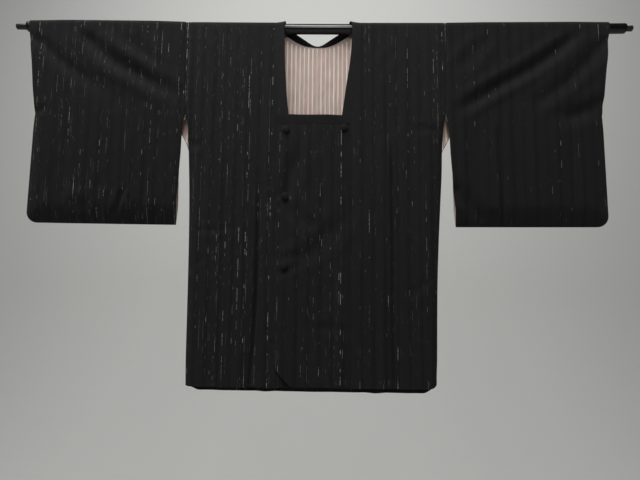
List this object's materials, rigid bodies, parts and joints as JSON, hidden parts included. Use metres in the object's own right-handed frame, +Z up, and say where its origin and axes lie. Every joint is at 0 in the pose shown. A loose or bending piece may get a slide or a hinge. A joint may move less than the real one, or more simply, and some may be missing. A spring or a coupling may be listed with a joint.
{
  "type": "michiyuki coat on a hanging rod",
  "caption": "Lined square-necked kimono overcoat, black with slub stripes, hung flat on a telescopic rod through its sleeves.",
  "frame": {"origin": "on the rod's axis, above the middle of the coat", "axes": "+X along the rod to the wearer's left, +Y from the coat's front to its back, +Z up"},
  "size_m": [1.422, 0.0481, 0.836],
  "materials": {
    "cloth": "matt black weave with darker stripes and broken pale slub threads",
    "lining": "smooth pale pink lining with lengthwise beige stripes",
    "button": "covered with the coat's black cloth",
    "rod": "dark gloss enamel"
  },
  "bodies": {
    "root": {"body_right": "cloth", "body_left": "cloth", "overlap_right": "cloth", "overlap_left": "cloth", "collar_band": "cloth", "collar_front_right": "cloth", "collar_front_left": "cloth", "sleeve_right": "cloth", "sleeve_left": "cloth", "lining_back_right": "lining", "lining_back_left": "lining", "button_neck_right": "button", "button_neck_left": "button", "button_middle": "button", "button_lower": "button", "rod_tube": "rod", "rod_cap_right": "rod", "rod_pin_right": "rod", "rod_pin_left": "rod"}
  },
  "joints": []
}
